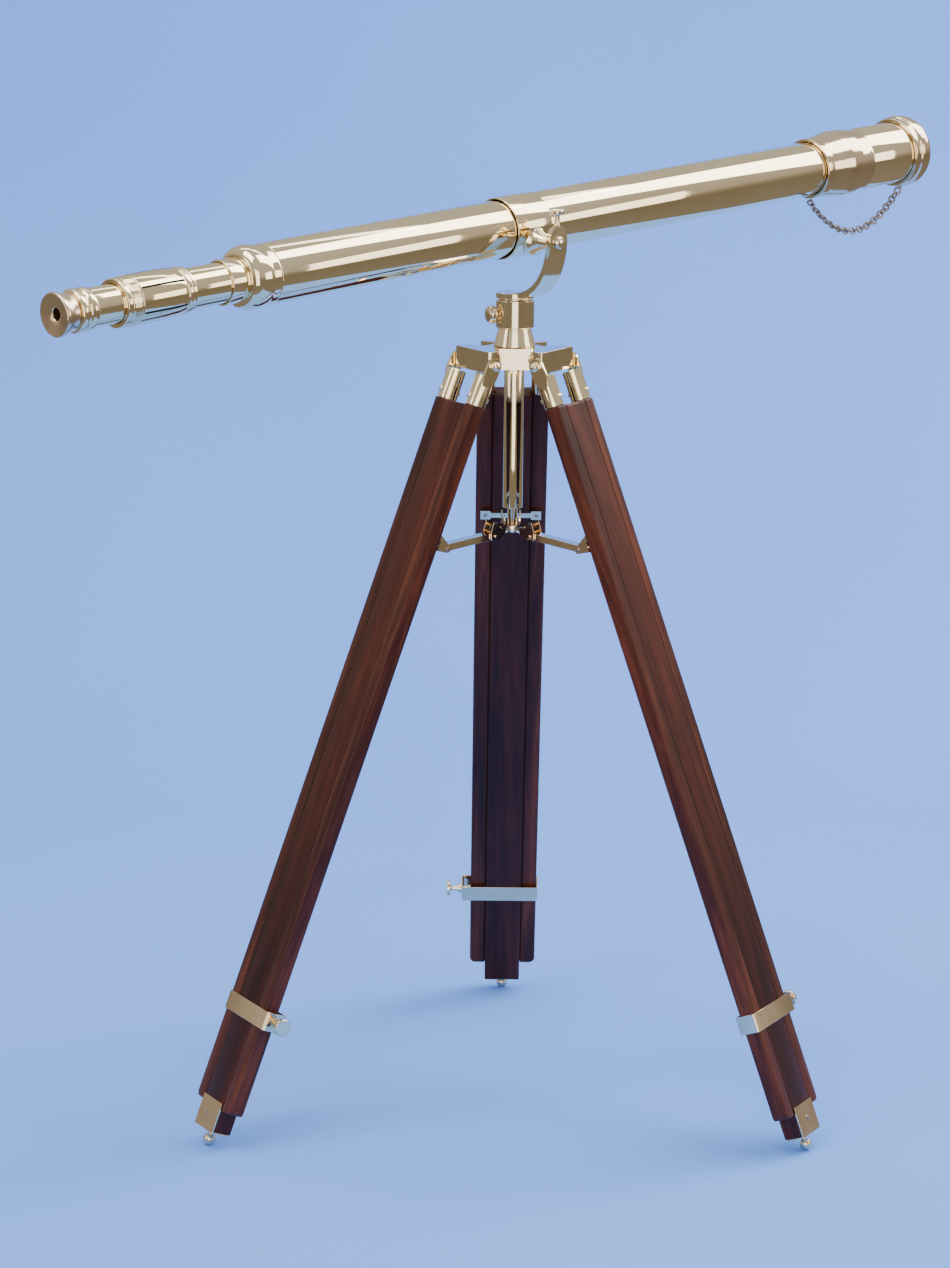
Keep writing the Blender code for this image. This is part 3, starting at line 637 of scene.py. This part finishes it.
def bracket_rivets():
    """Rivets and screws of the spreader brackets."""
    for number, azimuth in enumerate(LEG_AZIMUTHS, 1):
        parts = []
        for side in (1, -1):
            out = Vector((side, 0.0, 0.0))
            parts.append(screw_head(2.6, 1.3, (side * 10.95, BRACKET_N, BRACKET_S), out))
            parts.append(screw_head(2.1, 0.9, (side * 28.5, -FACE - 2.25, BRACKET_S), (0.0, -1.0, 0.0)))
        store("bracket_rivets_%d" % number, merged(parts), CHAIN_METAL, "leg_%d" % number,
              leg_matrix(azimuth))


def foot_screws():
    """One screw in each foot plate."""
    for number, azimuth in enumerate(LEG_AZIMUTHS, 1):
        head = screw_head(2.4, 1.1, (0.0, FACE + 1.85, FOOT_SCREW_S), (0.0, 1.0, 0.0))
        store("foot_screw_%d" % number, head, CHAIN_METAL, "extension_%d" % number,
              leg_matrix(azimuth))


def chain_point(t):
    """Route of the hanging chain from the ring to the cap, in millimetres."""
    ends = []
    for s, drop in (CHAIN_START, CHAIN_END):
        ends.append(UP * SCOPE_Z + BORE * s - UP * (drop / math.cos(SCOPE_EL)))
    return ends[0].lerp(ends[1], t) - UP * (4.0 * CHAIN_SAG * t * (1.0 - t))


def chain_stations(count):
    """Points spaced evenly along the chain's length."""
    fine = [chain_point(i / 400) for i in range(401)]
    lengths = [0.0]
    for a, b in zip(fine, fine[1:]):
        lengths.append(lengths[-1] + (b - a).length)
    points = []
    j = 0
    for i in range(count + 1):
        target = lengths[-1] * i / count
        while j < 399 and lengths[j + 1] < target:
            j += 1
        share = (target - lengths[j]) / (lengths[j + 1] - lengths[j])
        points.append(fine[j].lerp(fine[j + 1], share))
    return points, lengths[-1]


def link_ring(centre, along, across, length, width, wire):
    """One oval link of round wire."""
    bm = bmesh.new()
    rings = []
    count = 16
    normal = along.cross(across)
    for i in range(count):
        angle = 2.0 * math.pi * i / count
        out = along * (length / 2 * math.cos(angle)) + across * (width / 2 * math.sin(angle))
        ring = []
        for j in range(8):
            turn = 2.0 * math.pi * j / 8
            ring.append(bm.verts.new(centre + out + out.normalized() * (wire * math.cos(turn))
                                     + normal * (wire * math.sin(turn))))
        rings.append(ring)
    for i in range(count):
        for j in range(8):
            k = (j + 1) % 8
            a = rings[i]
            b = rings[(i + 1) % count]
            bm.faces.new((a[j], a[k], b[k], b[j]))
    return bm


def chain():
    """Round-link chain from the objective ring to the dust cap."""
    points, length = chain_stations(LINK_COUNT)
    parts = []
    for i, (a, b) in enumerate(zip(points, points[1:])):
        along = (b - a).normalized()
        level = along.cross(SIDE).normalized()
        tip = math.radians(24.0 if i % 2 else 98.0)
        across = SIDE * math.sin(tip) + level * math.cos(tip)
        long = (b - a).length + LINK_OVERLAP
        parts.append(link_ring((a + b) / 2, along, across, long, LINK_WIDTH, LINK_WIRE))
    obj = store("chain_links", merged(parts), CHAIN_METAL, None, sharp=80.0)
    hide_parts("cap_chain")
    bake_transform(obj)


def chain_anchors():
    """Small studs that the chain's end links hang from."""
    studs = [(1.5, -0.4), (1.5, 2.2), (2.1, 2.6), (2.1, 3.4), (1.4, 3.9), (0.0, 3.9), (0.0, -0.4)]
    for name, body, radius, s in (("ring_stud", "telescope", 34.8, CHAIN_START[0]),
                                  ("cap_stud", "cap", 42.1, CHAIN_END[0])):
        place = SCOPE @ Matrix.Translation((0.0, radius, s)) @ Matrix.Rotation(math.radians(-90.0), 4, "X")
        store(name, lathe(softened(studs, 0.3), 24), CHAIN_METAL, body, place)


# ---- studio ----------------------------------------------------------------------------------------------
def backdrop():
    """Pale paper sweep: floor, bend and wall."""
    n = Nodes("paper")
    place = n.add("ShaderNodeTexCoord").outputs["Object"]
    tone = n.noise(place, 1.4, 2.0)
    n.link(n.ramp(tone, ((0.3, (0.165, 0.375, 0.99)), (0.7, (0.178, 0.39, 1.0)))),
           n.shader.inputs["Base Color"])
    n.shader.inputs["Roughness"].default_value = 0.9
    n.shader.inputs["Emission Color"].default_value = (0.03, 0.16, 0.55, 1.0)
    n.shader.inputs["Emission Strength"].default_value = 0.16
    n.shader.inputs["Specular IOR Level"].default_value = 0.1
    bm = bmesh.new()
    rows = []
    profile = [(-1.05, 0.0), (1.2, 0.0)]
    for i in range(1, 13):
        angle = math.radians(90.0 * i / 12)
        profile.append((1.2 + 1.2 * math.sin(angle), 1.2 - 1.2 * math.cos(angle)))
    profile.append((2.4, 1.6))
    for y, z in profile:
        rows.append([bm.verts.new((x, y, z)) for x in (-1.05, 1.05)])
    for a, b in zip(rows, rows[1:]):
        bm.faces.new((a[0], a[1], b[1], b[0]))
    mesh = bpy.data.meshes.new("paper_sweep")
    bm.to_mesh(mesh)
    bm.free()
    mesh.shade_smooth()
    mesh.materials.append(n.material)
    obj = bpy.data.objects.new("paper_sweep", mesh)
    bpy.context.scene.collection.objects.link(obj)


def area_light(name, place, target, size, power, colour):
    """Rectangular soft light aimed at a point."""
    data = bpy.data.lights.new(name, "AREA")
    data.shape = "RECTANGLE"
    data.size = size[0]
    data.size_y = size[1]
    data.energy = power
    data.color = colour
    light = bpy.data.objects.new(name, data)
    light.location = place
    light.rotation_euler = (Vector(target) - Vector(place)).to_track_quat("-Z", "Y").to_euler()
    bpy.context.scene.collection.objects.link(light)


def long_softbox(name, centre, size, power, colour):
    """Soft light whose long side runs along the telescope."""
    area_light(name, centre, (0.0, 0.0, 0.97), size, power, colour)
    light = bpy.data.objects[name]
    away = (Vector(centre) - Vector((0.0, 0.0, 0.97))).normalized()
    long = (BORE - away * BORE.dot(away)).normalized()
    light.matrix_world = Matrix((long, away.cross(long), away)).transposed().to_4x4()
    light.location = centre


def lights():
    """Soft studio light and a gradient room around it."""
    long_softbox("key_softbox", (1.62, 0.55, 2.72), (3.2, 1.25), 92.0, (1.0, 0.985, 0.96))
    area_light("front_softbox", (0.0, -4.2, 0.9), (0.0, 0.0, 0.8), (2.6, 3.4), 74.0, (1.0, 0.95, 0.90))
    area_light("top_softbox", (-0.9, -0.9, 2.9), (0.0, 0.0, 0.6), (1.6, 1.4), 44.0, (1.0, 0.98, 0.95))
    area_light("right_softbox", (2.9, -0.6, 1.3), (0.0, 0.0, 0.9), (1.6, 1.0), 16.0, (1.0, 0.93, 0.86))
    area_light("left_softbox", (-2.7, -1.6, 1.5), (0.0, 0.0, 0.7), (1.0, 1.6), 14.0, (1.0, 0.95, 0.92))
    area_light("wall_wash", (0.0, 0.9, 3.1), (0.0, 2.4, 1.2), (2.8, 0.8), 27.0, (0.96, 0.98, 1.0))
    world = bpy.data.worlds.new("studio")
    bpy.context.scene.world = world
    world.use_nodes = True
    tree = world.node_tree
    background = tree.nodes["Background"]
    coordinate = tree.nodes.new("ShaderNodeTexCoord")
    split = tree.nodes.new("ShaderNodeSeparateXYZ")
    spread = tree.nodes.new("ShaderNodeMapRange")
    ramp = tree.nodes.new("ShaderNodeValToRGB")
    spread.inputs["From Min"].default_value = -1.0
    stops = ((0.0, (0.30, 0.28, 0.26)), (0.44, (0.25, 0.22, 0.17)), (0.49, (0.34, 0.30, 0.25)),
             (0.55, (0.60, 0.54, 0.48)), (0.72, (0.66, 0.63, 0.60)), (1.0, (0.74, 0.73, 0.73)))
    while len(ramp.color_ramp.elements) < len(stops):
        ramp.color_ramp.elements.new(0.5)
    for element, (place, colour) in zip(ramp.color_ramp.elements, stops):
        element.position = place
        element.color = (*colour, 1.0)
    tree.links.new(coordinate.outputs["Generated"], split.inputs["Vector"])
    tree.links.new(split.outputs["Z"], spread.inputs["Value"])
    tree.links.new(spread.outputs["Result"], ramp.inputs["Fac"])
    tree.links.new(ramp.outputs["Color"], background.inputs["Color"])
    background.inputs["Strength"].default_value = 0.9


def camera():
    """The photograph's viewpoint."""
    data = bpy.data.cameras.new("camera")
    data.sensor_fit = "HORIZONTAL"
    data.sensor_width = 36.0
    data.lens = CAMERA_LENS
    obj = bpy.data.objects.new("camera", data)
    level = Vector((math.cos(CAMERA_HEADING), math.sin(CAMERA_HEADING), 0.0))
    forward = level * math.cos(CAMERA_PITCH) + UP * math.sin(CAMERA_PITCH)
    right = level.cross(UP)
    above = right.cross(forward)
    rolled = right * math.cos(CAMERA_ROLL) + above * math.sin(CAMERA_ROLL)
    matrix = Matrix((rolled, rolled.cross(forward), -forward)).transposed().to_4x4()
    matrix.translation = Vector(CAMERA_AT)
    obj.matrix_world = matrix
    bpy.context.scene.collection.objects.link(obj)
    bpy.context.scene.camera = obj


camera()
chain()
chain_anchors()
eyepiece_nodes()
tube_nodes()
objective_nodes()
mount_nodes()
leg_nodes()
sleeve_slits()
sleeve_ridges()
gap_shade_lines()
ferrule_screws()
bracket_rivets()
foot_screws()
backdrop()
lights()
